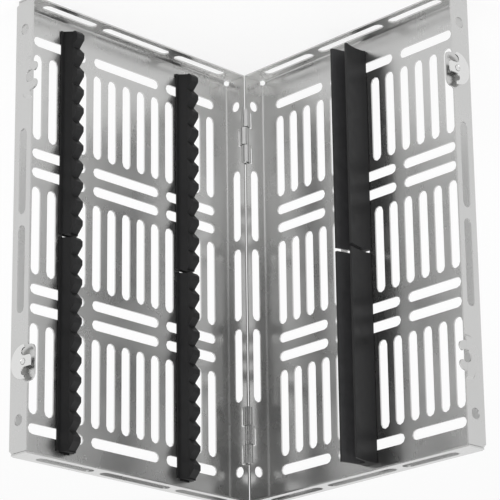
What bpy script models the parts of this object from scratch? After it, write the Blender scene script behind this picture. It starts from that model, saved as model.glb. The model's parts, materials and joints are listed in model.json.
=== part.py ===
"""Instrument sterilization tray: two identical perforated sheet-steel trays, hinged along
their rims and shown standing open like a book, with silicone racks, hold-down strips and
two quarter-turn latches.  Units are metres and Z is up.

Each tray is drawn in its own frame: u runs across the tray from the hinge wall to the latch
wall, v runs along the hinge, and h rises from the outer face of the floor to the rim.  The
frame's origin is moved onto the hinge axis before the tray is placed.
"""

import bpy
import bmesh
from math import cos, pi, radians, sin
from mathutils import Matrix, Vector

# Tray shell
TRAY_LENGTH = 0.280
TRAY_WIDTH = 0.178
TRAY_HEIGHT = 0.0162
SHEET = 0.0010
BEND_RADIUS = 0.0025
SEAM_GAP = 0.0003
RELIEF_RADIUS = 0.0021
RELIEF_HEIGHT = 0.0034
CUT_OVERRUN = 0.0020

# Floor perforation
PATTERN_CENTRE = 0.0880
COLUMN_COUNT = 13
COLUMN_PITCH = 0.01202
COLUMN_SLOT_WIDTH = 0.0069
BAND_END_MARGIN = 0.0137
ROW_SLOT_WIDTH = 0.0064
ROW_END_DISTANCE = 0.0200
ROW_PAIR_OFFSET = 0.0060
ROW_BRIDGE = 0.00555
OUTER_GROUP_LENGTH = 0.0425
MIDDLE_GROUP_LENGTH = 0.0545
GROUP_PITCH = 0.0545

# Wall perforation
WALL_SLOT_WIDTH = 0.0064
WALL_SLOT_DEPTH = 0.0069
HINGE_SLOT_COUNT = 3
HINGE_SLOT_MARGIN = 0.00395
HINGE_SLOT_BRIDGE = 0.0051
HINGE_SLOT_WIDTH = 0.0067
LATCH_SLOT_COUNT = 2
LATCH_SLOT_DISTANCE = 0.03095
LATCH_SLOT_BRIDGE = 0.0065
LATCH_SLOT_WIDTH = 0.0062
WALL_HOLE_RADIUS = 0.0034
WALL_HOLE_END_DISTANCE = 0.0200

# Hinges
AXIS_OFFSET = 0.00015
AXIS_RISE = 0.00015
OPEN_ANGLE = radians(88.0)
HINGE_END_DISTANCE = 0.0420
KNUCKLE_PITCH = 0.0120
KNUCKLE_END_GAP = 0.0002
PIN_RADIUS = 0.0008
PIN_CLEARANCE = 0.0003
ROLL_OFFSET = 0.0009
PIN_END_RECESS = 0.0003
ROLL_SLIT = 0.0003
NOTCH_DEPTH = 0.0054
NOTCH_CORNER_RADIUS = 0.0020

# Latch tab and the catch that it closes into
LATCH_END_DISTANCE = 0.0523
TAB_HALF_WIDTH = 0.0108
TAB_REACH = 0.0061
TAB_CORNER_RADIUS = 0.0040
TAB_ROOT_RADIUS = 0.0016
CATCH_GAP = 0.0004
BOSS_HALF_WIDTH = 0.0118
BOSS_DEPTH = 0.0067
BOSS_CORNER_RADIUS = 0.0042
CLAW_RADIUS = 0.0090
CLAW_REACH = 0.0058
CLAW_EAR_OVERLAP = 0.0006
NOTCH_RADIUS = 0.0040
CLAW_INSET = 0.00002

# Quarter-turn latch
KNOB_RADIUS = 0.0102
KNOB_THICKNESS = 0.0008
KNOB_STANDOFF = 0.0027
KNOB_CORNER_RADIUS = 0.0010
KNOB_SCALLOP_RADIUS = 0.0025
KNOB_STEM_HALF_WIDTH = 0.0033
KNOB_STEM_REACH = 0.0065
KNOB_STEM_CORNER_RADIUS = 0.0010
DIMPLE_ORBIT = 0.0084
DIMPLE_RADIUS = 0.0010
DIMPLE_DEPTH = 0.0004
DIMPLE_ANGLE = radians(40.0)
CAM_RADIUS = 0.0036
CAM_FLAT_WIDTH = 0.0044
CAM_START = 0.0003
CAM_THICKNESS = 0.0021
RIVET_RADIUS = 0.0011
RIVET_CLEARANCE = 0.0003
RIVET_CONE_GROWTH = 0.0007
RIVET_HEAD_RADIUS = 0.0030
RIVET_HEAD_THICKNESS = 0.0010
WASHER_RADIUS = 0.0034
WASHER_THICKNESS = 0.0005
WAVE_THICKNESS = 0.0003
WAVE_HEIGHT = 0.0003
WAVE_COUNT = 3
STACK_GAP = 0.0003

# Silicone racks and hold-down strips
SEAT_GAP = 0.0003
SEGMENT_START = 0.0090
SEGMENT_GAP = 0.0021
RACK_COLUMN_STEP = 4
RACK_THICKNESS = 0.0078
RACK_PEAK = 0.0096
RACK_VALLEY = 0.0054
RACK_NOTCH_PITCH = 0.01192
RACK_FIRST_NOTCH = 0.0098
RACK_CREST_WIDTH = 0.0030
RACK_CREST_RADIUS = 0.0010
RACK_ROOT_RADIUS = 0.0005
STUD_RADIUS = 0.0025
STUD_HEAD_RADIUS = 0.0043
STUD_HEAD_THICKNESS = 0.0014
STRIP_BASE_HALF_WIDTH = 0.0041
STRIP_BASE_HEIGHT = 0.0046
STRIP_WAIST_HALF_WIDTH = 0.0034
STRIP_WAIST_HEIGHT = 0.0090
STRIP_TIP_HALF_WIDTH = 0.0054
STRIP_TIP_HEIGHT = 0.0216
STRIP_BLADE = 0.0016
STRIP_FLARE_POWER = 1.6

ARC_STEPS = 6
SLOT_STEPS = 4
CORNER_STEPS = 2
ROUND_STEPS = 16
STUD_STEPS = 8
WELD_DISTANCE = 0.00001

AXIS_HEIGHT = TRAY_HEIGHT + AXIS_RISE
WALL_SLOT_HEIGHT = TRAY_HEIGHT - WALL_SLOT_DEPTH
BOSS_FLOOR = TRAY_HEIGHT - BOSS_DEPTH
ROLL_BORE_RADIUS = PIN_RADIUS + PIN_CLEARANCE + ROLL_OFFSET
KNUCKLE_RADIUS = ROLL_BORE_RADIUS + SHEET
BAND_PITCH = (TRAY_LENGTH - 2 * BAND_END_MARGIN) / 3
COLUMN_SLOT_LENGTH = BAND_PITCH - 2 * ROW_PAIR_OFFSET - ROW_SLOT_WIDTH - 2 * ROW_BRIDGE
SEGMENT_LENGTH = (TRAY_LENGTH - 2 * SEGMENT_START - SEGMENT_GAP) / 2
RACK_NOTCH_COUNT = int((SEGMENT_LENGTH - RACK_FIRST_NOTCH) / RACK_NOTCH_PITCH)
LATCH_V = TRAY_LENGTH - LATCH_END_DISTANCE
CATCH_V = LATCH_END_DISTANCE
CLAW_TIP_RADIUS = (CLAW_RADIUS - NOTCH_RADIUS + CLAW_EAR_OVERLAP) / 2
RIVET_HOLE = RIVET_RADIUS + RIVET_CLEARANCE

# Directions of the plane that an outline is drawn in: columns are outline x, outline y, depth
FLOOR_PLANE = Matrix.Identity(4)
SIDE_PLANE = Matrix(((0, 0, 1, 0), (1, 0, 0, 0), (0, 1, 0, 0), (0, 0, 0, 1)))
END_PLANE = Matrix(((1, 0, 0, 0), (0, 0, -1, 0), (0, 1, 0, 0), (0, 0, 0, 1)))

STEEL = (0.66, 0.66, 0.65, 1.0)
BRIGHT_STEEL = (0.72, 0.72, 0.71, 1.0)
DARK_STEEL = (0.42, 0.42, 0.42, 1.0)
SILICONE = (0.018, 0.018, 0.020, 1.0)


def clear_scene():
    for item in list(bpy.data.objects):
        bpy.data.objects.remove(item, do_unlink=True)


def new_collection(name):
    collection = bpy.data.collections.new(name)
    bpy.context.scene.collection.children.link(collection)
    return collection


def material(name, colour, roughness, metallic):
    item = bpy.data.materials.new(name)
    item.use_nodes = True
    shader = item.node_tree.nodes["Principled BSDF"]
    shader.inputs["Base Color"].default_value = colour
    shader.inputs["Roughness"].default_value = roughness
    shader.inputs["Metallic"].default_value = metallic
    item.diffuse_color = colour
    return item


# Outlines are lists of points in the plane of a sheet

def arc(x, y, radius, start, end, steps=ARC_STEPS):
    points = []
    for index in range(steps + 1):
        angle = start + (end - start) * index / steps
        points.append((x + radius * cos(angle), y + radius * sin(angle)))
    return points


def circle(x, y, radius, steps=ROUND_STEPS):
    return arc(x, y, radius, 0, 2 * pi, steps)[:-1]


def slot(x, y, length, width, along_x=True):
    radius = width / 2
    half = length / 2 - radius
    if along_x:
        right = arc(x + half, y, radius, -pi / 2, pi / 2, SLOT_STEPS)
        return right + arc(x - half, y, radius, pi / 2, 3 * pi / 2, SLOT_STEPS)
    upper = arc(x, y + half, radius, 0, pi, SLOT_STEPS)
    return upper + arc(x, y - half, radius, pi, 2 * pi, SLOT_STEPS)


def rectangle(x_low, x_high, y_low, y_high):
    return [(x_low, y_low), (x_high, y_low), (x_high, y_high), (x_low, y_high)]


def cup(x, half_width, bottom, top, radius):
    """An upright outline with rounded bottom corners and a flat top."""
    points = [(x - half_width, top)]
    points += arc(x - half_width + radius, bottom + radius, radius, pi, 3 * pi / 2)
    points += arc(x + half_width - radius, bottom + radius, radius, -pi / 2, 0)
    points.append((x + half_width, top))
    return points


def rounded(points, radii):
    """Round the corners of a closed outline; each corner has its own radius."""
    result = []
    count = len(points)
    for index in range(count):
        corner = Vector(points[index])
        radius = radii[index]
        if radius == 0:
            result.append(tuple(corner))
            continue
        before = (Vector(points[index - 1]) - corner).normalized()
        after = (Vector(points[(index + 1) % count]) - corner).normalized()
        half_angle = before.angle(after) / 2
        reach = radius * cos(half_angle) / sin(half_angle)
        centre = corner + (before + after).normalized() * radius / sin(half_angle)
        first = corner + before * reach - centre
        last = corner + after * reach - centre
        turn = first.angle_signed(last)
        for step in range(CORNER_STEPS + 1):
            spin = Matrix.Rotation(-turn * step / CORNER_STEPS, 2)
            result.append(tuple(centre + spin @ first))
    return result


# Solids

def mesh_object(name, mesh, collection):
    item = bpy.data.objects.new(name, mesh)
    collection.objects.link(item)
    return item


def plate_mesh(name, outlines, start, end, plane=FLOOR_PLANE):
    """A flat sheet between two depths, made from closed outlines."""
    curve = bpy.data.curves.new(name, "CURVE")
    curve.dimensions = "2D"
    curve.fill_mode = "BOTH"
    curve.extrude = (end - start) / 2
    for outline in outlines:
        spline = curve.splines.new("POLY")
        spline.points.add(len(outline) - 1)
        for point, (x, y) in zip(spline.points, outline):
            point.co = (x, y, 0, 1)
        spline.use_cyclic_u = True
    flat = mesh_object(name, curve, bpy.context.scene.collection)
    bpy.context.view_layer.update()
    graph = bpy.context.evaluated_depsgraph_get()
    mesh = bpy.data.meshes.new_from_object(flat.evaluated_get(graph))
    bpy.data.objects.remove(flat, do_unlink=True)
    mesh.name = name
    mesh.transform(plane @ Matrix.Translation((0, 0, (start + end) / 2)))
    weld(mesh)
    return mesh


def weld(mesh):
    work = bmesh.new()
    work.from_mesh(mesh)
    bmesh.ops.remove_doubles(work, verts=work.verts, dist=WELD_DISTANCE)
    bmesh.ops.recalc_face_normals(work, faces=work.faces)
    work.to_mesh(mesh)
    work.free()


def loft_mesh(name, first, second, first_depth, second_depth, plane):
    """A solid between two outlines that have the same number of points."""
    work = bmesh.new()
    low = [work.verts.new((x, y, first_depth)) for x, y in first]
    high = [work.verts.new((x, y, second_depth)) for x, y in second]
    work.faces.new(low)
    work.faces.new(high)
    for index in range(len(low)):
        work.faces.new((low[index - 1], low[index], high[index], high[index - 1]))
    bmesh.ops.recalc_face_normals(work, faces=work.faces)
    mesh = bpy.data.meshes.new(name)
    work.to_mesh(mesh)
    work.free()
    mesh.transform(plane)
    return mesh


def cylinder_mesh(name, radius, start, end, steps=ROUND_STEPS):
    work = bmesh.new()
    bmesh.ops.create_cone(work, cap_ends=True, segments=steps, radius1=radius, radius2=radius,
                          depth=end - start)
    bmesh.ops.translate(work, verts=work.verts, vec=(0, 0, (start + end) / 2))
    mesh = bpy.data.meshes.new(name)
    work.to_mesh(mesh)
    work.free()
    return mesh


def joined_mesh(name, meshes):
    work = bmesh.new()
    for mesh in meshes:
        work.from_mesh(mesh)
    result = bpy.data.meshes.new(name)
    work.to_mesh(result)
    work.free()
    return result


def turned_mesh(name, profile, steps=ROUND_STEPS):
    """A solid of revolution about Z from (radius, height) points that start and end on the axis."""
    mesh = bpy.data.meshes.new(name)
    edges = [(index, index + 1) for index in range(len(profile) - 1)]
    mesh.from_pydata([(radius, 0, height) for radius, height in profile], edges, [])
    item = mesh_object(name, mesh, bpy.context.scene.collection)
    screw = item.modifiers.new("Turn", "SCREW")
    screw.steps = steps
    screw.render_steps = steps
    screw.use_merge_vertices = True
    screw.merge_threshold = WELD_DISTANCE
    bpy.context.view_layer.update()
    graph = bpy.context.evaluated_depsgraph_get()
    solid = bpy.data.meshes.new_from_object(item.evaluated_get(graph))
    bpy.data.objects.remove(item, do_unlink=True)
    solid.name = name
    weld(solid)
    return solid


def boolean(item, operation, mesh, cutters):
    tool = mesh_object(mesh.name + "_tool", mesh, cutters)
    tool.hide_render = True
    tool.display_type = "WIRE"
    step = item.modifiers.new(mesh.name, "BOOLEAN")
    step.operation = operation
    step.solver = "EXACT"
    step.object = tool
    return tool


def baked_mesh(item, name):
    bpy.context.view_layer.update()
    graph = bpy.context.evaluated_depsgraph_get()
    mesh = bpy.data.meshes.new_from_object(item.evaluated_get(graph))
    bpy.data.objects.remove(item, do_unlink=True)
    mesh.name = name
    weld(mesh)
    return mesh


def smooth(mesh):
    mesh.shade_smooth()
    mesh.set_sharp_from_angle(angle=radians(30.0))


# The tray

def shell_object(cutters):
    """The folded pan: an open box with rounded bends, thickened inward."""
    work = bmesh.new()
    bmesh.ops.create_cube(work, size=1)
    bmesh.ops.scale(work, verts=work.verts, vec=(TRAY_WIDTH, TRAY_LENGTH, TRAY_HEIGHT))
    middle = (TRAY_WIDTH / 2, TRAY_LENGTH / 2, TRAY_HEIGHT / 2)
    bmesh.ops.translate(work, verts=work.verts, vec=middle)
    top = [face for face in work.faces if face.normal.z > 0.5]
    bmesh.ops.delete(work, geom=top, context="FACES_ONLY")
    low = [edge for edge in work.edges if all(vert.co.z < TRAY_HEIGHT / 2 for vert in edge.verts)]
    bmesh.ops.bevel(work, geom=low, offset=BEND_RADIUS, segments=3, profile=0.5, affect="EDGES")
    mesh = bpy.data.meshes.new("tray_shell")
    work.to_mesh(mesh)
    work.free()
    item = mesh_object("tray_shell", mesh, cutters)
    sheet = item.modifiers.new("Sheet", "SOLIDIFY")
    sheet.thickness = SHEET
    sheet.offset = -1
    sheet.use_even_offset = True
    return item


def group_spans():
    """Centre and length of the three slots that cross the tray."""
    return [(PATTERN_CENTRE - GROUP_PITCH, OUTER_GROUP_LENGTH),
            (PATTERN_CENTRE, MIDDLE_GROUP_LENGTH),
            (PATTERN_CENTRE + GROUP_PITCH, OUTER_GROUP_LENGTH)]


def column_place(index):
    return PATTERN_CENTRE + (index - (COLUMN_COUNT - 1) / 2) * COLUMN_PITCH


def floor_outlines():
    outlines = []
    middle = TRAY_LENGTH / 2
    for index in range(COLUMN_COUNT):
        for band in (-1, 0, 1):
            place = middle + band * BAND_PITCH
            outlines.append(slot(column_place(index), place, COLUMN_SLOT_LENGTH, COLUMN_SLOT_WIDTH, False))
    rows = [ROW_END_DISTANCE, TRAY_LENGTH - ROW_END_DISTANCE]
    for side in (-1, 1):
        for step in (-1, 1):
            rows.append(middle + side * BAND_PITCH / 2 + step * ROW_PAIR_OFFSET)
    for place in rows:
        for centre, length in group_spans():
            outlines.append(slot(centre, place, length, ROW_SLOT_WIDTH))
    return outlines


def wall_slots(count, start, bridge, width):
    """Equal slots between a start distance and the same distance from the other end."""
    outlines = []
    length = (TRAY_LENGTH - 2 * start - (count - 1) * bridge) / count
    pitch = length + bridge
    for index in range(count):
        place = TRAY_LENGTH / 2 + (index - (count - 1) / 2) * pitch
        outlines.append(slot(place, WALL_SLOT_HEIGHT, length, width))
    for place in (WALL_HOLE_END_DISTANCE, TRAY_LENGTH - WALL_HOLE_END_DISTANCE):
        outlines.append(circle(place, WALL_SLOT_HEIGHT, WALL_HOLE_RADIUS, 2 * ARC_STEPS))
    return outlines


def perforation_meshes():
    floor = plate_mesh("floor_slots", floor_outlines(), -CUT_OVERRUN, SHEET + CUT_OVERRUN)
    hinge_start = HINGE_END_DISTANCE + 1.5 * KNUCKLE_PITCH + HINGE_SLOT_MARGIN
    hinge_side = wall_slots(HINGE_SLOT_COUNT, hinge_start, HINGE_SLOT_BRIDGE, HINGE_SLOT_WIDTH)
    hinge = plate_mesh("hinge_wall_slots", hinge_side, -CUT_OVERRUN, SHEET + CUT_OVERRUN, SIDE_PLANE)
    latch_start = LATCH_END_DISTANCE + LATCH_SLOT_DISTANCE
    latch_side = wall_slots(LATCH_SLOT_COUNT, latch_start, LATCH_SLOT_BRIDGE, LATCH_SLOT_WIDTH)
    latch = plate_mesh("latch_wall_slots", latch_side, TRAY_WIDTH - SHEET - CUT_OVERRUN,
                       TRAY_WIDTH + CUT_OVERRUN, SIDE_PLANE)
    ends = []
    spans = [slot(centre, WALL_SLOT_HEIGHT, length, WALL_SLOT_WIDTH) for centre, length in group_spans()]
    for name, place in (("near", 0), ("far", TRAY_LENGTH)):
        ends.append(plate_mesh(name + "_end_slots", spans, -place - SHEET - CUT_OVERRUN,
                               -place + SHEET + CUT_OVERRUN, END_PLANE))
    return [floor, hinge, latch, joined_mesh("end_wall_slots", ends)]


def corner_meshes():
    """Relief holes at the floor's corners, and the open seams above them."""
    reliefs = []
    seams = []
    inset = SHEET + SEAM_GAP
    for across in (0, 1):
        for along in (0, 1):
            u = TRAY_WIDTH - inset if across else inset
            v = TRAY_LENGTH - inset if along else inset
            relief = cylinder_mesh("relief", RELIEF_RADIUS, -CUT_OVERRUN, RELIEF_HEIGHT, 2 * ARC_STEPS)
            half_facet = Matrix.Rotation(pi / (2 * ARC_STEPS), 4, "Z")
            relief.transform(Matrix.Translation((u, v, 0)) @ half_facet)
            reliefs.append(relief)
            u_range = (TRAY_WIDTH - inset, TRAY_WIDTH + CUT_OVERRUN) if across else (-CUT_OVERRUN, inset)
            v_low = TRAY_LENGTH - inset if along else SHEET
            outline = rectangle(u_range[0], u_range[1], v_low, v_low + SEAM_GAP)
            seams.append(plate_mesh("seam", [outline], RELIEF_HEIGHT - SEAM_GAP, TRAY_HEIGHT + CUT_OVERRUN))
    return [joined_mesh("corner_reliefs", reliefs), joined_mesh("corner_seams", seams)]


def knuckle_spans():
    """Start and end of this tray's knuckles, and of the notches for the other tray's."""
    knuckles = []
    notches = []
    far = TRAY_LENGTH - HINGE_END_DISTANCE
    for centre, own in ((HINGE_END_DISTANCE, (-1, 1)), (far, (0,))):
        for step in (-1, 0, 1):
            start = centre + (step - 0.5) * KNUCKLE_PITCH
            end = start + KNUCKLE_PITCH
            if step in own:
                knuckles.append((start + KNUCKLE_END_GAP, end - KNUCKLE_END_GAP))
            else:
                notches.append((start - KNUCKLE_END_GAP, end + KNUCKLE_END_GAP))
    return knuckles, notches


def barrel_mesh(name, radius, spans, steps):
    """Round bars along the rim; they stand outside the axis, since the pin lies loose in the rolls."""
    barrels = []
    for start, end in spans:
        barrel = cylinder_mesh(name, radius, start, end, steps)
        barrel.transform(Matrix.Rotation(-pi / 2, 4, "X"))
        barrel.transform(Matrix.Translation((-AXIS_OFFSET - ROLL_OFFSET, 0, AXIS_HEIGHT)))
        barrels.append(barrel)
    return joined_mesh(name, barrels)


def hinge_meshes():
    knuckles, notches = knuckle_spans()
    barrels = barrel_mesh("knuckle_barrels", KNUCKLE_RADIUS, knuckles, ROUND_STEPS)
    through = [(start - KNUCKLE_END_GAP / 2, end + KNUCKLE_END_GAP / 2) for start, end in knuckles]
    bores = barrel_mesh("knuckle_bores", ROLL_BORE_RADIUS, through, ROUND_STEPS)
    slit_top = AXIS_HEIGHT - PIN_RADIUS
    slit_low = AXIS_HEIGHT - KNUCKLE_RADIUS - CUT_OVERRUN
    slits = []
    outlines = []
    for start, end in through:
        face = rectangle(-ROLL_SLIT, 0, start, end)
        slits.append(plate_mesh("roll_slit", [face], slit_low, slit_top))
    for start, end in notches:
        centre = (start + end) / 2
        outlines.append(cup(centre, (end - start) / 2, AXIS_HEIGHT - NOTCH_DEPTH,
                            AXIS_HEIGHT + KNUCKLE_RADIUS + CUT_OVERRUN, NOTCH_CORNER_RADIUS))
    cuts = plate_mesh("knuckle_notches", outlines, -CUT_OVERRUN, SHEET + CUT_OVERRUN, SIDE_PLANE)
    return barrels, bores, joined_mesh("roll_slits", slits), cuts


def tab_outline():
    """The latch tab: flared into the rim at its root, with round outer corners."""
    top = AXIS_HEIGHT + TAB_REACH
    root = TRAY_HEIGHT - SHEET
    left = LATCH_V - TAB_HALF_WIDTH
    right = LATCH_V + TAB_HALF_WIDTH
    points = [(right + TAB_ROOT_RADIUS, root)]
    points += arc(right + TAB_ROOT_RADIUS, TRAY_HEIGHT + TAB_ROOT_RADIUS, TAB_ROOT_RADIUS, -pi / 2, -pi, 3)
    points += arc(right - TAB_CORNER_RADIUS, top - TAB_CORNER_RADIUS, TAB_CORNER_RADIUS, 0, pi / 2)
    points += arc(left + TAB_CORNER_RADIUS, top - TAB_CORNER_RADIUS, TAB_CORNER_RADIUS, pi / 2, pi)
    points += arc(left - TAB_ROOT_RADIUS, TRAY_HEIGHT + TAB_ROOT_RADIUS, TAB_ROOT_RADIUS, 0, -pi / 2, 3)
    points.append((left - TAB_ROOT_RADIUS, root))
    return points


def claw_outline():
    """The catch plate above the boss: two ears that curl round the keyhole notch."""
    centre_distance = CLAW_RADIUS - CLAW_TIP_RADIUS
    tip_rise = CLAW_REACH - CLAW_TIP_RADIUS
    tip_side = (centre_distance ** 2 - tip_rise ** 2) ** 0.5
    tip = Vector((tip_side, tip_rise))
    tip_angle = Vector((1, 0)).angle(tip)
    to_cusp = (NOTCH_RADIUS ** 2 - CLAW_TIP_RADIUS ** 2 + centre_distance ** 2) / (2 * centre_distance)
    bulge = (NOTCH_RADIUS ** 2 - to_cusp ** 2) ** 0.5
    along = tip.normalized()
    cusp = along * to_cusp + Vector((-along.y, along.x)) * bulge
    cusp_on_tip = cusp - tip
    inner_angle = Vector((1, 0)).angle(cusp_on_tip)
    cusp_angle = Vector((1, 0)).angle(cusp)
    ear = arc(0, 0, CLAW_RADIUS, 0, tip_angle, 4)
    ear += arc(tip.x, tip.y, CLAW_TIP_RADIUS, tip_angle, inner_angle, 8)[1:]
    bowl = arc(0, 0, NOTCH_RADIUS, cusp_angle, -pi - cusp_angle, 16)[1:-1]
    other = [(-x, y) for x, y in reversed(ear)]
    foot = BOSS_FLOOR + BOSS_CORNER_RADIUS - AXIS_HEIGHT
    points = [(CLAW_RADIUS, foot)] + ear + bowl + other + [(-CLAW_RADIUS, foot)]
    return [(CATCH_V + x, AXIS_HEIGHT + y) for x, y in points]


def catch_meshes():
    """The pressed-out boss on the latch wall, its pocket, the claw plate and its notch."""
    top = TRAY_HEIGHT
    rise = CATCH_GAP + SHEET
    face = cup(CATCH_V, BOSS_HALF_WIDTH, BOSS_FLOOR, top, BOSS_CORNER_RADIUS)
    foot = cup(CATCH_V, BOSS_HALF_WIDTH + rise + SHEET / 2, BOSS_FLOOR - rise - SHEET / 2, top,
               BOSS_CORNER_RADIUS + rise)
    boss = loft_mesh("catch_boss", foot, face, TRAY_WIDTH - SHEET / 2, TRAY_WIDTH + rise, SIDE_PLANE)
    over = top + CUT_OVERRUN
    slope_inset = SHEET / 2
    deep = cup(CATCH_V, BOSS_HALF_WIDTH - slope_inset, BOSS_FLOOR + slope_inset, over,
               BOSS_CORNER_RADIUS - slope_inset)
    grow = CATCH_GAP + SHEET + CUT_OVERRUN
    wide = cup(CATCH_V, BOSS_HALF_WIDTH - slope_inset + grow, BOSS_FLOOR + slope_inset - grow, over,
               BOSS_CORNER_RADIUS - slope_inset + grow)
    pocket = loft_mesh("catch_pocket", wide, deep, TRAY_WIDTH - SHEET - CUT_OVERRUN,
                       TRAY_WIDTH + CATCH_GAP, SIDE_PLANE)
    claw = plate_mesh("catch_claw", [claw_outline()], TRAY_WIDTH + CATCH_GAP + CLAW_INSET,
                      TRAY_WIDTH + rise - CLAW_INSET, SIDE_PLANE)
    bowl = plate_mesh("catch_bowl", [circle(CATCH_V, AXIS_HEIGHT, NOTCH_RADIUS)],
                      TRAY_WIDTH + CATCH_GAP / 2, TRAY_WIDTH + rise + CUT_OVERRUN, SIDE_PLANE)
    return boss, pocket, claw, bowl


def tray_mesh(cutters):
    item = shell_object(cutters)
    barrels, bores, slits, notches = hinge_meshes()
    boss, pocket, claw, bowl = catch_meshes()
    tab = plate_mesh("latch_tab", [tab_outline()], TRAY_WIDTH - SHEET, TRAY_WIDTH, SIDE_PLANE)
    tab_hole = plate_mesh("rivet_hole", [circle(LATCH_V, AXIS_HEIGHT, RIVET_HOLE, 2 * ARC_STEPS)],
                          TRAY_WIDTH - SHEET - CUT_OVERRUN, TRAY_WIDTH + CUT_OVERRUN, SIDE_PLANE)
    for mesh in perforation_meshes() + [notches]:
        boolean(item, "DIFFERENCE", mesh, cutters)
    for mesh in (barrels, boss, tab):
        boolean(item, "UNION", mesh, cutters)
    for mesh in (bores, slits, pocket, tab_hole):
        boolean(item, "DIFFERENCE", mesh, cutters)
    boolean(item, "UNION", claw, cutters)
    boolean(item, "DIFFERENCE", bowl, cutters)
    for mesh in corner_meshes():
        boolean(item, "DIFFERENCE", mesh, cutters)
    mesh = baked_mesh(item, "perforated_tray")
    mesh.transform(Matrix.Translation((AXIS_OFFSET, 0, -AXIS_HEIGHT)))
    smooth(mesh)
    return mesh


def on_axis(u, v, h):
    """A place in the tray's frame, measured from the hinge axis."""
    return Vector((u + AXIS_OFFSET, v, h - AXIS_HEIGHT))


# Hinge pins

def pin_mesh():
    half = 1.5 * KNUCKLE_PITCH - KNUCKLE_END_GAP - PIN_END_RECESS
    mesh = cylinder_mesh("hinge_pin", PIN_RADIUS, -half, half)
    mesh.transform(Matrix.Rotation(-pi / 2, 4, "X"))
    smooth(mesh)
    return mesh


# Latch pieces: the latch frame has its origin on the latch wall's outer face, X along the
# wall, Y towards the rim and Z outward

def knob_outline():
    cap_side = KNOB_RADIUS - KNOB_CORNER_RADIUS
    scallop_side = KNOB_STEM_HALF_WIDTH + KNOB_SCALLOP_RADIUS
    scallop = arc(scallop_side, KNOB_CORNER_RADIUS, KNOB_SCALLOP_RADIUS, 0, -pi)
    right = arc(cap_side, 0, KNOB_CORNER_RADIUS, 0, pi / 2, 4) + scallop
    corner = KNOB_STEM_CORNER_RADIUS
    side = KNOB_STEM_HALF_WIDTH - corner
    stem = arc(side, KNOB_STEM_REACH - corner, corner, 0, pi / 2, 3)
    stem += arc(-side, KNOB_STEM_REACH - corner, corner, pi / 2, pi, 3)
    left = [(-x, y) for x, y in reversed(right)]
    bottom = arc(0, 0, KNOB_RADIUS, -pi, 0, ROUND_STEPS)[1:-1]
    return right + stem + left + bottom


def knob_mesh(cutters):
    low = KNOB_STANDOFF
    high = low + KNOB_THICKNESS
    item = mesh_object("knob_plate", plate_mesh("knob_plate", [knob_outline()], low, high), cutters)
    narrow = RIVET_RADIUS + RIVET_CLEARANCE
    wide = narrow + RIVET_CONE_GROWTH
    slope = RIVET_CONE_GROWTH / KNOB_THICKNESS
    over = CUT_OVERRUN
    profile = [(0, high + over), (wide + slope * over, high + over), (narrow, low), (narrow, low - over),
               (0, low - over)]
    boolean(item, "DIFFERENCE", turned_mesh("knob_countersink", profile), cutters)
    dimples = []
    rim = high + DIMPLE_DEPTH
    for turn in (-DIMPLE_ANGLE, DIMPLE_ANGLE):
        profile = [(0, rim), (2 * DIMPLE_RADIUS, rim), (0, high - DIMPLE_DEPTH)]
        cone = turned_mesh("dimple", profile, 2 * ARC_STEPS)
        place = Vector((sin(turn), -cos(turn), 0)) * DIMPLE_ORBIT
        cone.transform(Matrix.Translation(place))
        dimples.append(cone)
    boolean(item, "DIFFERENCE", joined_mesh("knob_dimples", dimples), cutters)
    mesh = baked_mesh(item, "latch_knob")
    smooth(mesh)
    return mesh


def cam_mesh():
    """A round boss with two flats; turned a quarter, it can't leave the claw."""
    flat = CAM_FLAT_WIDTH / 2
    side = Vector((0, 1)).angle(Vector((flat, (CAM_RADIUS ** 2 - flat ** 2) ** 0.5)))
    outline = arc(0, 0, CAM_RADIUS, pi / 2 - side, pi / 2 + side, 8)
    outline += arc(0, 0, CAM_RADIUS, 3 * pi / 2 - side, 3 * pi / 2 + side, 8)
    hole = circle(0, 0, RIVET_HOLE, 2 * ARC_STEPS)
    mesh = plate_mesh("latch_cam", [outline, hole], CAM_START, CAM_START + CAM_THICKNESS)
    smooth(mesh)
    return mesh


def wave_low():
    return -SHEET - STACK_GAP - WAVE_HEIGHT - WAVE_THICKNESS


def washer_low():
    return wave_low() - STACK_GAP - WASHER_THICKNESS


def wave_washer_mesh():
    outlines = [circle(0, 0, WASHER_RADIUS), circle(0, 0, RIVET_HOLE)]
    mesh = plate_mesh("wave_washer", outlines, 0, WAVE_THICKNESS)
    for vertex in mesh.vertices:
        turn = Vector((1, 0)).angle_signed(vertex.co.xy)
        vertex.co.z += wave_low() + WAVE_HEIGHT * (0.5 + 0.5 * cos(WAVE_COUNT * turn))
    smooth(mesh)
    return mesh


def backing_washer_mesh():
    outlines = [circle(0, 0, WASHER_RADIUS), circle(0, 0, RIVET_HOLE)]
    mesh = plate_mesh("backing_washer", outlines, washer_low(), washer_low() + WASHER_THICKNESS)
    smooth(mesh)
    return mesh


def rivet_mesh():
    high = KNOB_STANDOFF + KNOB_THICKNESS
    wide = RIVET_RADIUS + RIVET_CONE_GROWTH
    head = washer_low() - STACK_GAP
    crown = head - RIVET_HEAD_THICKNESS
    profile = [(0, high), (wide, high), (RIVET_RADIUS, KNOB_STANDOFF), (RIVET_RADIUS, head),
               (RIVET_HEAD_RADIUS, head), (RIVET_HEAD_RADIUS, (head + crown) / 2),
               (RIVET_HEAD_RADIUS / 2, crown), (0, crown)]
    mesh = turned_mesh("latch_rivet", profile)
    smooth(mesh)
    return mesh


# Silicone pieces: the segment frame has its origin at the segment's start on the floor's
# outer face, X across the tray, Y along it and Z up to the rim

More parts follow.
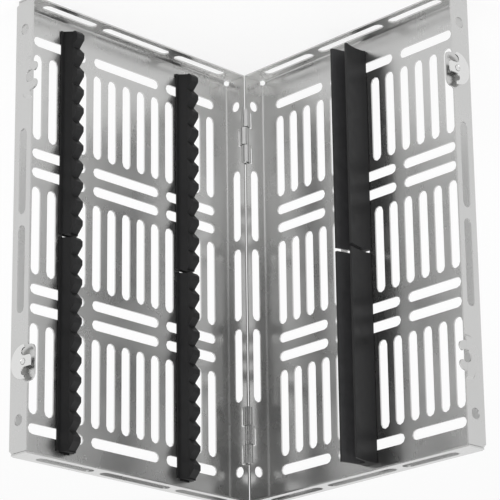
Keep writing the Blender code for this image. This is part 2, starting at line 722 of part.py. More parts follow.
def rack_outline():
    """Side view of a rack: V notches between flat crests, cut from one long comb."""
    bottom = SHEET + SEAT_GAP
    flank = (RACK_NOTCH_PITCH - RACK_CREST_WIDTH) / 2
    depth = RACK_PEAK - RACK_VALLEY
    lead = RACK_NOTCH_PITCH - RACK_FIRST_NOTCH
    start_height = RACK_VALLEY + depth * lead / flank
    points = [(0, bottom), (0, start_height)]
    radii = [0, 0]
    for index in range(RACK_NOTCH_COUNT):
        root = RACK_FIRST_NOTCH + index * RACK_NOTCH_PITCH
        crest = root - RACK_NOTCH_PITCH / 2
        points += [(crest - RACK_CREST_WIDTH / 2, RACK_PEAK), (crest + RACK_CREST_WIDTH / 2, RACK_PEAK)]
        points.append((root, RACK_VALLEY))
        radii += [RACK_CREST_RADIUS, RACK_CREST_RADIUS, RACK_ROOT_RADIUS]
    crest = root + RACK_NOTCH_PITCH / 2
    points += [(crest - RACK_CREST_WIDTH / 2, RACK_PEAK), (crest + RACK_CREST_WIDTH / 2, RACK_PEAK)]
    tail = crest + RACK_CREST_WIDTH / 2 + flank
    points += [(tail, RACK_VALLEY), (SEGMENT_LENGTH, RACK_VALLEY), (SEGMENT_LENGTH, bottom)]
    radii += [RACK_CREST_RADIUS, RACK_CREST_RADIUS, 0, 0, 0]
    return rounded(points, radii)


def strip_outline():
    """Cross-section of a hold-down strip: a foot that carries two flared blades."""
    bottom = SHEET + SEAT_GAP
    shoulder = (STRIP_BASE_HEIGHT + STRIP_WAIST_HEIGHT) / 2
    outer = [(STRIP_BASE_HALF_WIDTH, bottom), (STRIP_BASE_HALF_WIDTH, STRIP_BASE_HEIGHT),
             (STRIP_WAIST_HALF_WIDTH, shoulder)]
    inner = []
    steps = 6
    for index in range(steps + 1):
        share = index / steps
        height = STRIP_WAIST_HEIGHT + (STRIP_TIP_HEIGHT - STRIP_WAIST_HEIGHT) * share
        flare = (STRIP_TIP_HALF_WIDTH - STRIP_WAIST_HALF_WIDTH) * share ** STRIP_FLARE_POWER
        side = STRIP_WAIST_HALF_WIDTH + flare
        outer.append((side, height))
        inner.append((side - STRIP_BLADE, height))
    valley = arc(0, shoulder + STRIP_WAIST_HALF_WIDTH - STRIP_BLADE, STRIP_WAIST_HALF_WIDTH - STRIP_BLADE,
                 0, -pi, 8)
    right = outer + list(reversed(inner))
    left = [(-x, y) for x, y in reversed(right)]
    return right + valley + left


def stud_mesh():
    """A push-through stud: a neck in the floor slot and a mushroom head under the floor."""
    head_top = -SEAT_GAP
    head_low = head_top - STUD_HEAD_THICKNESS
    root = SHEET + 2 * SEAT_GAP
    profile = [(0, root), (STUD_RADIUS, root), (STUD_RADIUS, head_top), (STUD_HEAD_RADIUS, head_top),
               (STUD_HEAD_RADIUS, (head_top + head_low) / 2), (STUD_RADIUS, head_low), (0, head_low)]
    return turned_mesh("stud", profile, STUD_STEPS)


def stud_places(segment):
    """Studs fill the round ends of the floor slots: both ends of the outer slot under a
    segment, and the near end of the middle slot."""
    middle = TRAY_LENGTH / 2
    reach = (COLUMN_SLOT_LENGTH - COLUMN_SLOT_WIDTH) / 2
    places = [middle - BAND_PITCH - reach, middle - BAND_PITCH + reach, middle - reach]
    if segment == 1:
        return [place - SEGMENT_START for place in places]
    start = SEGMENT_START + SEGMENT_LENGTH + SEGMENT_GAP
    return [TRAY_LENGTH - place - start for place in places]


def studded_mesh(body, name, segment, cutters):
    item = mesh_object(name, body, cutters)
    studs = []
    for place in stud_places(segment):
        stud = stud_mesh()
        stud.transform(Matrix.Translation((0, place, 0)))
        studs.append(stud)
    boolean(item, "UNION", joined_mesh(name + "_studs", studs), cutters)
    mesh = baked_mesh(item, name)
    smooth(mesh)
    return mesh


def rack_mesh(segment, cutters):
    half = RACK_THICKNESS / 2
    body = plate_mesh("rack_body", [rack_outline()], -half, half, SIDE_PLANE)
    return studded_mesh(body, "silicone_rack", segment, cutters)


def strip_mesh(segment, cutters):
    body = plate_mesh("strip_body", [strip_outline()], -SEGMENT_LENGTH, 0, END_PLANE)
    return studded_mesh(body, "hold_down_strip", segment, cutters)


# Assembly

def empty(name, collection, parent, matrix):
    item = bpy.data.objects.new(name, None)
    item.empty_display_size = TRAY_HEIGHT
    collection.objects.link(item)
    item.parent = parent
    item.matrix_local = matrix
    return item


def piece(name, mesh, look, collection, parent, place=(0, 0, 0)):
    item = mesh_object(name, mesh, collection)
    item.parent = parent
    item.location = place
    if not mesh.materials:
        mesh.materials.append(look)
    item.material_slots[0].link = "OBJECT"
    item.material_slots[0].material = look
    return item


def half_frame(side):
    """Axes of one standing tray; side is 1 for the base and -1 for the lid."""
    lean = OPEN_ANGLE / 2
    across = Vector((side * cos(pi / 2 - lean), -sin(pi / 2 - lean), 0))
    if side > 0:
        along = Vector((0, 0, 1))
    else:
        along = Vector((0, 0, -1))
    rise = across.cross(along)
    matrix = Matrix.Identity(4)
    for column, axis in enumerate((across, along, rise)):
        for row in range(3):
            matrix[row][column] = axis[row]
    if side < 0:
        matrix.translation = (0, 0, TRAY_LENGTH)
    return matrix


def latch_frame():
    matrix = SIDE_PLANE.copy()
    matrix.translation = on_axis(TRAY_WIDTH, LATCH_V, AXIS_HEIGHT)
    return matrix


def add_latch(prefix, meshes, collection, frame):
    latch = empty(prefix + "_latch_axis", collection, frame, latch_frame())
    pieces = []
    looks = {"knob": (STEEL, 0.28), "cam": (DARK_STEEL, 0.35), "rivet": (BRIGHT_STEEL, 0.25),
             "wave_washer": (DARK_STEEL, 0.3), "backing_washer": (STEEL, 0.32)}
    for part, mesh in meshes.items():
        colour, roughness = looks[part]
        name = prefix + "_latch_" + part
        look = material(name, colour, roughness, 1.0)
        pieces.append(piece(name, mesh, look, collection, latch))
    return pieces


def segment_places(column):
    u = column_place(column)
    first = on_axis(u, SEGMENT_START, 0)
    second = on_axis(u, SEGMENT_START + SEGMENT_LENGTH + SEGMENT_GAP, 0)
    return first, second


def stand_on_origin(pieces, frames):
    """Move the whole assembly so that its box stands centred on the origin."""
    bpy.context.view_layer.update()
    points = []
    for item in pieces:
        points += [item.matrix_world @ vertex.co for vertex in item.data.vertices]
    low = [min(point[axis] for point in points) for axis in range(3)]
    high = [max(point[axis] for point in points) for axis in range(3)]
    shift = Vector(((low[0] + high[0]) / 2, (low[1] + high[1]) / 2, low[2]))
    for frame in frames:
        frame.location -= shift
    bpy.context.view_layer.update()


def build():
    clear_scene()
    collection = new_collection("sterilization_tray")
    cutters = new_collection("cutters")
    base = empty("base_hinge_axis", collection, None, half_frame(1))
    lid = empty("lid_hinge_axis", collection, None, half_frame(-1))
    tray = tray_mesh(cutters)
    pieces = [piece("base_tray", tray, material("base_tray", STEEL, 0.22, 1.0), collection, base),
              piece("lid_tray", tray, material("lid_tray", STEEL, 0.22, 1.0), collection, lid)]

    racks = [rack_mesh(segment, cutters) for segment in (1, 2)]
    middle_column = COLUMN_COUNT // 2
    for name, step in (("outer", RACK_COLUMN_STEP), ("inner", -RACK_COLUMN_STEP)):
        for number, rack, place in zip("12", racks, segment_places(middle_column + step)):
            label = name + "_rack_" + number
            look = material(label, SILICONE, 0.5, 0.0)
            pieces.append(piece(label, rack, look, collection, base, place))
    strips = [strip_mesh(segment, cutters) for segment in (1, 2)]
    for number, strip, place in zip("12", strips, segment_places(middle_column)):
        label = "hold_down_strip_" + number
        look = material(label, SILICONE, 0.45, 0.0)
        pieces.append(piece(label, strip, look, collection, lid, place))

    pin = pin_mesh()
    for number, place in zip("12", (HINGE_END_DISTANCE, TRAY_LENGTH - HINGE_END_DISTANCE)):
        label = "hinge_pin_" + number
        look = material(label, BRIGHT_STEEL, 0.25, 1.0)
        pieces.append(piece(label, pin, look, collection, base, (0, place, 0)))

    latch_meshes = {"knob": knob_mesh(cutters), "cam": cam_mesh(), "rivet": rivet_mesh(),
                    "wave_washer": wave_washer_mesh(), "backing_washer": backing_washer_mesh()}
    pieces += add_latch("base", latch_meshes, collection, base)
    pieces += add_latch("lid", latch_meshes, collection, lid)
    stand_on_origin(pieces, (base, lid))


build()
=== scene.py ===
"""Looks of the open instrument sterilization tray: camera, light, floor, finishes and finer pieces."""

import bmesh
import bpy
import json
from math import cos, radians, sin
from mathutils import Matrix, Vector


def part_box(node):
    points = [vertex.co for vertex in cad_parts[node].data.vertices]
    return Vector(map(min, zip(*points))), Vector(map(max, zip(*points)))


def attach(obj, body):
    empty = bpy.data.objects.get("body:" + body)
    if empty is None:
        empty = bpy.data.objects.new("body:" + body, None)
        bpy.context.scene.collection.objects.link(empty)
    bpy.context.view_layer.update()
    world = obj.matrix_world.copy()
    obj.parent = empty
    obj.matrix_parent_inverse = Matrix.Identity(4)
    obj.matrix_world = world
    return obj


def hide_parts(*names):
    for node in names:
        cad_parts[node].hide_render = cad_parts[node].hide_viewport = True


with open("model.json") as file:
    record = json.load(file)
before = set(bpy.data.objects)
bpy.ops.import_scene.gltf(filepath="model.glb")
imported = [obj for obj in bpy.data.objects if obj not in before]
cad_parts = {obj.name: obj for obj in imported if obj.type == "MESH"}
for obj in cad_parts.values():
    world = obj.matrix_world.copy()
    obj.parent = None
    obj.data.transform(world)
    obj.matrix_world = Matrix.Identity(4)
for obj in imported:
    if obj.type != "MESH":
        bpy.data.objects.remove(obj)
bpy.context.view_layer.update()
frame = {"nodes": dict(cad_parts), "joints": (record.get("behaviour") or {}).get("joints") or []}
scene = bpy.context.scene

# All lengths are in metres, apart from the lens and its sensor.

# The camera, fitted to the photograph, which shows the tray upside down
CAMERA_PLACE = Vector((-0.011565, -1.471252, 0.646144))
CAMERA_RIGHT = Vector((-0.99986841, 0.01038883, 0.01245914))
CAMERA_UP = Vector((-0.01516154, -0.32531075, -0.94548561))
CAMERA_BACK = Vector((-0.00576940, -0.94555010, 0.32542546))
LENS_MM = 186.625
SENSOR_MM = 36.0
NEAR_CLIP = 0.01
FAR_CLIP = 50.0

# Light: each lamp's name, place, size and power
LAMPS = (
    ("key_light", (-1.2, -1.6, 1.9), 1.2, 8),
    ("fill_light", (1.5, -1.3, 1.4), 1.4, 11),
    ("top_light", (0.1, 0.5, 2.2), 1.4, 8),
    ("front_light", (0.05, -1.7, 0.85), 0.5, 5),
)
LAMP_AIM = Vector((0, 0, 0.14))
WORLD_LIGHT = 0.6
FLOOR_REACH = 8.0
FLOOR_LEVEL = 0.9
FLOOR_GLOW = 1.06
FLOOR_GLOW_SHARE = 0.72

# Dark cards in front of the tray, for its reflections
CARD_HALF_WIDTH = 0.55
CARD_BOTTOM = 0.004
CARD_TOP = 1.9
CARD_NEAR = -0.26
CARD_FAR = -3.0
FRONT_CARD_LEVEL = 0.16
CAMERA_CARD_LEVEL = 0.12

# Each steel's colour, least roughness and most roughness
STEELS = {
    "pin_steel": ((0.7, 0.7, 0.69), 0.12, 0.22),
    # Painted shade: the latch's cam and washers under the knob get a darker steel
    "shaded_latch_steel": ((0.36, 0.36, 0.36), 0.25, 0.4),
    "tray_steel": ((0.60, 0.60, 0.595), 0.22, 0.34),
    # Painted highlight: the trays' rounded edges get a lighter steel
    "tray_highlight_edge_steel": ((0.74, 0.74, 0.735), 0.16, 0.24),
    "knob_steel": ((0.74, 0.74, 0.735), 0.16, 0.26),
    # Painted shade: the knob's and rivet's rounded edges get a darker steel, as a dark outline
    "knob_shaded_edge_steel": ((0.5, 0.5, 0.5), 0.16, 0.26),
}
STEEL_METALLIC = 0.98
STEEL_DARKER = 0.93
STEEL_LIGHTER = 1.05
STEEL_NOISE_SPAN = (0.3, 0.7)
SCRATCH_STRETCH = (1800, 1800, 90)
SCRATCH_DETAIL = 3.0
SCRATCH_RELIEF = 0.004
CLOUD_SCALE = 28.0
CLOUD_DETAIL = 4.0
CLOUD_SHARE = 0.93

# Each silicone's grey level, and how much of it each of its colours has
# The third, lighter level is painted light for the shaded inner faces of a strip's V
SILICONES = {"rack_silicone": 0.012, "strip_silicone": 0.014, "lit_v_silicone": 0.045}
SILICONE_PLAIN = (1, 1, 1.06)
SILICONE_CLEAN = (0.8, 0.8, 0.84)
SILICONE_DUSTY = (1.5, 1.5, 1.55)
SILICONE_SPECULAR = 0.35
SILICONE_PLAIN_ROUGHNESS = 0.5
SILICONE_ROUGHNESS_SPAN = (0.42, 0.62)
DUST_SCALE = 160.0
DUST_DETAIL = 5.0
DUST_SPAN = (0.2, 0.8)
SKIN_SCALE = 2600.0
SKIN_DETAIL = 2.0
SKIN_RELIEF = 0.15
RELIEF_DEPTH = 0.00005

# Sockets of the mix node, whose names repeat for each kind of value
MIX_FIRST_NUMBER = 2
MIX_SECOND_NUMBER = 3
MIX_FIRST_COLOUR = 6
MIX_SECOND_COLOUR = 7
MIX_COLOUR_OUTPUT = 2

# Edges of the finer pieces
TRAY_ROUNDING = 0.00016
LATCH_ROUNDING = 0.00012
RACK_ROUNDING = 0.0004
STRIP_ROUNDING = 0.0003
ROUNDING_SEGMENTS = 2
SHARP_ANGLE = radians(28)
FLAT_ANGLE = radians(0.6)
NORMAL_WEIGHT = 80
JOIN_DISTANCE = 0.000004
# Second material slot: painted highlight and painted shade on rounded edges, painted light in a strip's
# V
PAINTED_LOOK = 1

# Where a silicone part stands: heights are over the outer face of its tray's floor
HALF_OPENING = radians(44.0)
AXIS_HEIGHT = 0.01635
FOOT = 0.0013
STUD_OVERLAP = 0.00001
CUT_TOLERANCE = 0.000001

# Racks
RACK_FOOT_TOP = 0.0022
RACK_FOOT_HALF = 0.0066
RACK_BODY_HALF = 0.0048
RACK_COMB_HALF = 0.0029
RACK_COMB_FOOT = 0.0070
RACK_VALLEY = 0.0079
RACK_PEAK = 0.0121
RACK_PITCH = 0.01192
RACK_FIRST_NOTCH = 0.0098
RACK_CREST = 0.0030
RACK_CREST_RADIUS = 0.0011
RACK_ROOT_RADIUS = 0.0004
RACK_LEAN = 0.0012
CORNER_STEPS = 5

# Hold-down strips: half of the section, as distance from its middle and height
STRIP_OUTER = [(0.0052, FOOT), (0.0052, 0.0024), (0.0047, 0.0034), (0.0045, 0.0060),
               (0.0047, 0.0100), (0.0056, 0.0155), (0.0069, 0.0202)]
STRIP_INNER = [(0.0053, 0.0202), (0.0041, 0.0155), (0.0033, 0.0112), (0.0024, 0.0086), (0.0010, 0.0076)]
# Where a strip's inner faces get the lighter silicone: painted light in the V
STRIP_LIT_V_HALF = 0.0048
STRIP_LIT_V_BOTTOM = 0.0085


def add_camera():
    data = bpy.data.cameras.new("camera")
    data.lens = LENS_MM
    data.sensor_width = SENSOR_MM
    data.clip_start = NEAR_CLIP
    data.clip_end = FAR_CLIP
    camera = bpy.data.objects.new("camera", data)
    scene.collection.objects.link(camera)
    matrix = Matrix.Identity(4)
    for column, axis in enumerate((CAMERA_RIGHT, CAMERA_UP, CAMERA_BACK, CAMERA_PLACE)):
        for row in range(3):
            matrix[row][column] = axis[row]
    camera.matrix_world = matrix
    scene.camera = camera


def link(tree, source, output, target, socket):
    tree.links.new(source.outputs[output], target.inputs[socket])


def either(tree, first, first_output, second, second_output):
    """A node that gives the greater of two values."""
    item = tree.nodes.new("ShaderNodeMath")
    item.operation = "MAXIMUM"
    link(tree, first, first_output, item, 0)
    link(tree, second, second_output, item, 1)
    return item


def background(tree, strength):
    item = tree.nodes.new("ShaderNodeBackground")
    item.inputs["Color"].default_value = (1, 1, 1, 1)
    item.inputs["Strength"].default_value = strength
    return item


def add_world():
    """White behind the object and in its reflections, and a softer white as its light."""
    world = bpy.data.worlds.new("studio")
    scene.world = world
    world.use_nodes = True
    tree = world.node_tree
    tree.nodes.clear()
    path = tree.nodes.new("ShaderNodeLightPath")
    seen = either(tree, path, "Is Camera Ray", path, "Is Glossy Ray")
    clear = either(tree, seen, 0, path, "Is Transmission Ray")
    soft = background(tree, WORLD_LIGHT)
    white = background(tree, 1.0)
    mix = tree.nodes.new("ShaderNodeMixShader")
    link(tree, clear, 0, mix, 0)
    link(tree, soft, 0, mix, 1)
    link(tree, white, 0, mix, 2)
    output = tree.nodes.new("ShaderNodeOutputWorld")
    link(tree, mix, 0, output, 0)


def add_lights():
    for name, place, size, power in LAMPS:
        data = bpy.data.lights.new(name, "AREA")
        data.shape = "SQUARE"
        data.size = size
        data.energy = power
        lamp = bpy.data.objects.new(name, data)
        scene.collection.objects.link(lamp)
        lamp.location = place
        aim = LAMP_AIM - Vector(place)
        lamp.rotation_euler = aim.to_track_quat("-Z", "Y").to_euler()


def blank_material(name):
    material = bpy.data.materials.new(name)
    material.use_nodes = True
    material.node_tree.nodes.clear()
    return material, material.node_tree


def floor_material():
    """A pale floor that mostly glows white to the camera, and still shows the shadow."""
    material, tree = blank_material("studio_floor")
    path = tree.nodes.new("ShaderNodeLightPath")
    seen = either(tree, path, "Is Camera Ray", path, "Is Glossy Ray")
    gain = tree.nodes.new("ShaderNodeMath")
    gain.operation = "MULTIPLY"
    gain.inputs[1].default_value = FLOOR_GLOW_SHARE
    link(tree, seen, 0, gain, 0)
    glow = tree.nodes.new("ShaderNodeEmission")
    glow.inputs["Strength"].default_value = FLOOR_GLOW
    base = tree.nodes.new("ShaderNodeBsdfDiffuse")
    base.inputs["Color"].default_value = (FLOOR_LEVEL, FLOOR_LEVEL, FLOOR_LEVEL, 1)
    both = tree.nodes.new("ShaderNodeMixShader")
    link(tree, gain, 0, both, 0)
    link(tree, base, 0, both, 1)
    link(tree, glow, 0, both, 2)
    output = tree.nodes.new("ShaderNodeOutputMaterial")
    link(tree, both, 0, output, 0)
    return material


def add_sheet(name, corners, material):
    mesh = bpy.data.meshes.new(name)
    mesh.from_pydata(corners, [], [(0, 1, 2, 3)])
    mesh.materials.append(material)
    sheet = bpy.data.objects.new(name, mesh)
    scene.collection.objects.link(sheet)
    return sheet


def add_floor():
    reach = FLOOR_REACH
    corners = [(-reach, -reach, 0), (reach, -reach, 0), (reach, reach, 0), (-reach, reach, 0)]
    add_sheet("floor", corners, floor_material())


def add_card(name, corners, level):
    """A dark studio card that only shows in reflections."""
    material, tree = blank_material(name)
    glow = tree.nodes.new("ShaderNodeEmission")
    glow.inputs["Color"].default_value = (level, level, level, 1)
    output = tree.nodes.new("ShaderNodeOutputMaterial")
    link(tree, glow, 0, output, 0)
    card = add_sheet(name, corners, material)
    card.visible_camera = False
    card.visible_diffuse = False
    card.visible_transmission = False
    card.visible_volume_scatter = False
    card.visible_shadow = False


def add_cards():
    half, low = CARD_HALF_WIDTH, CARD_BOTTOM
    far_edge = [(-half, CARD_FAR, low), (half, CARD_FAR, low)]
    near_edge = [(half, CARD_NEAR, low), (-half, CARD_NEAR, low)]
    top_edge = [(half, CARD_FAR, CARD_TOP), (-half, CARD_FAR, CARD_TOP)]
    add_card("front_card", far_edge + near_edge, FRONT_CARD_LEVEL)
    add_card("camera_card", far_edge + top_edge, CAMERA_CARD_LEVEL)


def principled(name, colour, roughness, metallic):
    material = bpy.data.materials.new(name)
    material.use_nodes = True
    shader = material.node_tree.nodes["Principled BSDF"]
    shader.inputs["Base Color"].default_value = (*colour, 1)
    shader.inputs["Roughness"].default_value = roughness
    shader.inputs["Metallic"].default_value = metallic
    return material, material.node_tree, shader


def noise(tree, place, scale, detail, stretch=None):
    source = place
    if stretch:
        source = tree.nodes.new("ShaderNodeMapping")
        source.inputs["Scale"].default_value = stretch
        link(tree, place, "Object", source, "Vector")
    item = tree.nodes.new("ShaderNodeTexNoise")
    item.inputs["Scale"].default_value = scale
    item.inputs["Detail"].default_value = detail
    link(tree, source, 0 if stretch else "Object", item, "Vector")
    return item


def vary_roughness(tree, shader, source, span, roughness):
    """Roughness that follows a noise: the noise's span becomes the roughness's span."""
    item = tree.nodes.new("ShaderNodeMapRange")
    item.inputs["From Min"].default_value = span[0]
    item.inputs["From Max"].default_value = span[1]
    item.inputs["To Min"].default_value = roughness[0]
    item.inputs["To Max"].default_value = roughness[1]
    link(tree, source, 0, item, "Value")
    link(tree, item, 0, shader, "Roughness")


def vary_colour(tree, shader, share, first, second):
    """Base colour that varies between two colours."""
    item = tree.nodes.new("ShaderNodeMix")
    item.data_type = "RGBA"
    item.inputs[MIX_FIRST_COLOUR].default_value = (*first, 1)
    item.inputs[MIX_SECOND_COLOUR].default_value = (*second, 1)
    link(tree, share, 0, item, 0)
    link(tree, item, MIX_COLOUR_OUTPUT, shader, "Base Color")


def add_relief(tree, shader, height, strength):
    item = tree.nodes.new("ShaderNodeBump")
    item.inputs["Strength"].default_value = strength
    item.inputs["Distance"].default_value = RELIEF_DEPTH
    link(tree, height, 0, item, "Height")
    link(tree, item, 0, shader, "Normal")


def steel_material(name):
    """Satin steel: long fine scratches, a cloudy polish and slight colour change."""
    colour, low, high = STEELS[name]
    material, tree, shader = principled(name, colour, low, STEEL_METALLIC)
    place = tree.nodes.new("ShaderNodeTexCoord")
    lines = noise(tree, place, 1.0, SCRATCH_DETAIL, SCRATCH_STRETCH)
    cloud = noise(tree, place, CLOUD_SCALE, CLOUD_DETAIL)
    mix = tree.nodes.new("ShaderNodeMix")
    mix.data_type = "FLOAT"
    mix.inputs[0].default_value = CLOUD_SHARE
    link(tree, lines, 0, mix, MIX_FIRST_NUMBER)
    link(tree, cloud, 0, mix, MIX_SECOND_NUMBER)
    vary_roughness(tree, shader, mix, STEEL_NOISE_SPAN, (low, high))
    darker = [share * STEEL_DARKER for share in colour]
    lighter = [min(1, share * STEEL_LIGHTER) for share in colour]
    vary_colour(tree, shader, cloud, darker, lighter)
    add_relief(tree, shader, lines, SCRATCH_RELIEF)
    return material


def silicone_material(name):
    """Moulded black silicone: satin, faintly dusty, with a fine moulded texture."""
    plain, clean, dusty = ([SILICONES[name] * share for share in shares]
                           for shares in (SILICONE_PLAIN, SILICONE_CLEAN, SILICONE_DUSTY))
    material, tree, shader = principled(name, plain, SILICONE_PLAIN_ROUGHNESS, 0.0)
    shader.inputs["Specular IOR Level"].default_value = SILICONE_SPECULAR
    place = tree.nodes.new("ShaderNodeTexCoord")
    dust = noise(tree, place, DUST_SCALE, DUST_DETAIL)
    vary_roughness(tree, shader, dust, DUST_SPAN, SILICONE_ROUGHNESS_SPAN)
    vary_colour(tree, shader, dust, clean, dusty)
    skin = noise(tree, place, SKIN_SCALE, SKIN_DETAIL)
    add_relief(tree, shader, skin, SKIN_RELIEF)
    return material


def dress(names, material):
    for name in names:
        for held in frame["nodes"][name].material_slots:
            held.link = "OBJECT"
            held.material = material


def dress_cad():
    dress(["hinge_pin_1", "hinge_pin_2"], steel_material("pin_steel"))
    # The cam and washers under the knob get a darker steel: painted shade.
    inner = steel_material("shaded_latch_steel")
    for side in ("base", "lid"):
        parts = ["cam", "wave_washer", "backing_washer"]
        dress([side + "_latch_" + part for part in parts], inner)


def stand_in(mesh, node, body, rounding):
    """Put a finer mesh in the place of a node, with its edges rounded."""
    piece = bpy.data.objects.new(node + "_finish", mesh)
    scene.collection.objects.link(piece)
    edge = piece.modifiers.new("Edges", "BEVEL")
    edge.width = rounding
    edge.segments = ROUNDING_SEGMENTS
    edge.limit_method = "ANGLE"
    edge.angle_limit = SHARP_ANGLE
    edge.use_clamp_overlap = True
    mesh.shade_smooth()
    normals = piece.modifiers.new("Normals", "WEIGHTED_NORMAL")
    normals.keep_sharp = True
    normals.weight = NORMAL_WEIGHT
    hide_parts(node)
    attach(piece, body)
    return edge


def rounded_copy(node, body, rounding, surface, edges):
    """The form of a node, with rounded edges in a second material: a painted highlight on the trays'
    edges, painted shade on the latch parts' edges.
    """
    mesh = frame["nodes"][node].data.copy()
    mesh.name = node + "_finish"
    work = bmesh.new()
    work.from_mesh(mesh)
    bmesh.ops.remove_doubles(work, verts=work.verts, dist=JOIN_DISTANCE)
    bmesh.ops.dissolve_limit(work, angle_limit=FLAT_ANGLE, verts=work.verts, edges=work.edges)
    work.to_mesh(mesh)
    work.free()
    mesh.materials.clear()
    mesh.materials.append(surface)
    mesh.materials.append(edges)
    mesh.polygons.foreach_set("material_index", [0] * len(mesh.polygons))
    edge = stand_in(mesh, node, body, rounding)
    edge.material = PAINTED_LOOK


def add_trays():
    sheet = steel_material("tray_steel")
    # The rounded edges of the trays get a lighter steel: painted highlight.
    rim = steel_material("tray_highlight_edge_steel")
    for side in ("base", "lid"):
        rounded_copy(side + "_tray", side, TRAY_ROUNDING, sheet, rim)


def add_latches():
    plate = steel_material("knob_steel")
    # The rounded edges of the knob and rivet get a darker steel: painted shade as an outline.
    edge = steel_material("knob_shaded_edge_steel")
    for side in ("base", "lid"):
        for part in ("_latch_knob", "_latch_rivet"):
            rounded_copy(side + part, side + "_latch", LATCH_ROUNDING, plate, edge)


def rounded_corner(before, corner, after, radius):
    """Points of an arc that takes the place of a corner between two straight lines."""
    corner = Vector(corner)
    first = (Vector(before) - corner).normalized()
    last = (Vector(after) - corner).normalized()
    half = first.angle(last) / 2
    centre = corner + (first + last).normalized() * radius / sin(half)
    reach = radius * cos(half) / sin(half)
    begin = corner + first * reach - centre
    finish = corner + last * reach - centre
    turn = begin.angle_signed(finish)
    points = []
    for step in range(CORNER_STEPS + 1):
        points.append(centre + Matrix.Rotation(-turn * step / CORNER_STEPS, 2) @ begin)
    return [(point.x, point.y) for point in points]


def comb_corners(length):
    """Corners of a comb's side view, with the radius of each: V notches between flat crests."""
    flank = (RACK_PITCH - RACK_CREST) / 2
    count = int((length - RACK_FIRST_NOTCH) / RACK_PITCH)
    lead = RACK_PITCH - RACK_FIRST_NOTCH
    start = RACK_VALLEY + (RACK_PEAK - RACK_VALLEY) * lead / flank
    corners = [(0, RACK_COMB_FOOT, 0), (0, start, RACK_CREST_RADIUS)]
    for index in range(count + 1):
        root = RACK_FIRST_NOTCH + index * RACK_PITCH
        crest = root - RACK_PITCH / 2
        corners.append((crest - RACK_CREST / 2, RACK_PEAK, RACK_CREST_RADIUS))
        corners.append((crest + RACK_CREST / 2, RACK_PEAK, RACK_CREST_RADIUS))
        corners.append((root, RACK_VALLEY, RACK_ROOT_RADIUS if index < count else 0))
    return corners + [(length, RACK_VALLEY, 0), (length, RACK_COMB_FOOT, 0)]


def comb_outline(length):
    """Side view of a rack's comb: height over its own length."""
    corners = comb_corners(length)
    points = []
    for index, (along, height, radius) in enumerate(corners):
        if radius == 0:
            points.append((along, height))
            continue
        after = corners[(index + 1) % len(corners)]
        points += rounded_corner(corners[index - 1][:2], (along, height), after[:2], radius)
    return points


def bar(work, first, second):
    """Add the solid between two outlines of the same number of points."""
    first = [work.verts.new(point) for point in first]
    second = [work.verts.new(point) for point in second]
    work.faces.new(first)
    work.faces.new(second)
    for index in range(len(first)):
        work.faces.new((first[index - 1], first[index], second[index], second[index - 1]))


def mirrored(half):
    return half + [(-across, height) for across, height in reversed(half)]


def add_comb(work, length):
    outline = comb_outline(length)
    sides = []
    for across in (-RACK_COMB_HALF, RACK_COMB_HALF):
        sides.append([(across, along, height) for along, height in outline])
    bar(work, *sides)


def add_rack_body(work, length):
    """The bar under the comb: a thin foot and sloping sides, cut aslant at both ends."""
    section = mirrored([(RACK_FOOT_HALF, FOOT), (RACK_FOOT_HALF, RACK_FOOT_TOP),
                        (RACK_BODY_HALF, RACK_FOOT_TOP), (RACK_COMB_HALF, RACK_VALLEY)])
    ends = []
    for along in (0, length):
        points = []
        for across, height in section:
            share = (RACK_VALLEY - height) / (RACK_VALLEY - FOOT)
            points.append((across, along - RACK_LEAN * share, height))
        ends.append(points)
    bar(work, *ends)


def add_rack(work, length):
    add_comb(work, length)
    add_rack_body(work, length)


def add_strip(work, length):
    """Two flared blades on one foot, with an open V between them that has the second look: a lighter
    silicone, painted light on the shaded inner faces of the V.
    """
    section = mirrored(STRIP_OUTER + STRIP_INNER)
    ends = [[(across, along, height) for across, height in section] for along in (0, length)]
    bar(work, *ends)
    for face in work.faces:
        middle = face.calc_center_median()
        inside = abs(middle.x) < STRIP_LIT_V_HALF and middle.z > STRIP_LIT_V_BOTTOM
        if len(face.verts) == 4 and inside:
            face.material_index = PAINTED_LOOK


def hinge_place():
    joint = [item for item in frame["joints"] if item["name"] == "lid_hinge"][0]
    return Vector((joint["pos_m"][0], joint["pos_m"][1], 0))


def tray_directions(body):
    """Away from the hinge along a tray's floor, and from that floor to the tray's rim."""
    side = 1 if body == "base" else -1
    across = Vector((side * sin(HALF_OPENING), -cos(HALF_OPENING), 0))
    rise = Vector((-side * cos(HALF_OPENING), -sin(HALF_OPENING), 0))
    return across, rise


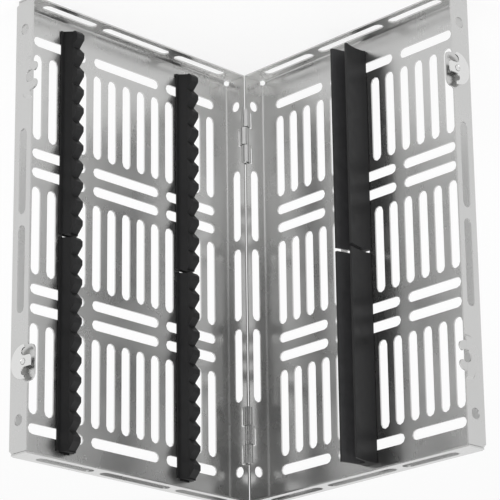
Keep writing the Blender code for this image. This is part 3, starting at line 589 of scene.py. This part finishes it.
def stud_mesh(node, hinge, rise):
    """The push-through studs of a silicone part, cut from its CAD solid just over the foot."""
    work = bmesh.new()
    work.from_mesh(frame["nodes"][node].data)
    cut = hinge + rise * (FOOT + STUD_OVERLAP - AXIS_HEIGHT)
    everything = work.verts[:] + work.edges[:] + work.faces[:]
    bmesh.ops.bisect_plane(work, geom=everything, dist=CUT_TOLERANCE, plane_co=cut, plane_no=rise,
                           clear_outer=True)
    bmesh.ops.remove_doubles(work, verts=work.verts, dist=JOIN_DISTANCE)
    mesh = bpy.data.meshes.new(node + "_finish")
    work.to_mesh(mesh)
    work.free()
    return mesh


def silicone_piece(node, body, add_form, looks, rounding):
    """A finer silicone part in the place of a node, on the studs of that node."""
    across, rise = tray_directions(body)
    hinge = hinge_place()
    low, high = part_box(node)
    reach = [(vertex.co - hinge).dot(across) for vertex in frame["nodes"][node].data.vertices]
    place = hinge + across * (min(reach) + max(reach)) / 2 - rise * AXIS_HEIGHT
    place.z = low.z
    turn = Matrix((across, Vector((0, 0, 1)), rise)).transposed().to_4x4()
    work = bmesh.new()
    add_form(work, high.z - low.z)
    work.transform(Matrix.Translation(place) @ turn)
    mesh = stud_mesh(node, hinge, rise)
    work.from_mesh(mesh)
    bmesh.ops.recalc_face_normals(work, faces=work.faces)
    work.to_mesh(mesh)
    work.free()
    for look in looks:
        mesh.materials.append(look)
    stand_in(mesh, node, body, rounding)


def add_silicone():
    rack = [silicone_material("rack_silicone")]
    # The second silicone is lighter: painted light inside the strip's V.
    strip = [silicone_material("strip_silicone"), silicone_material("lit_v_silicone")]
    for number in ("1", "2"):
        silicone_piece("outer_rack_" + number, "base", add_rack, rack, RACK_ROUNDING)
        silicone_piece("inner_rack_" + number, "base", add_rack, rack, RACK_ROUNDING)
        silicone_piece("hold_down_strip_" + number, "lid", add_strip, strip, STRIP_ROUNDING)


scene.view_settings.view_transform = "Standard"
add_camera()
add_world()
add_lights()
add_floor()
add_cards()
dress_cad()
add_trays()
add_latches()
add_silicone()
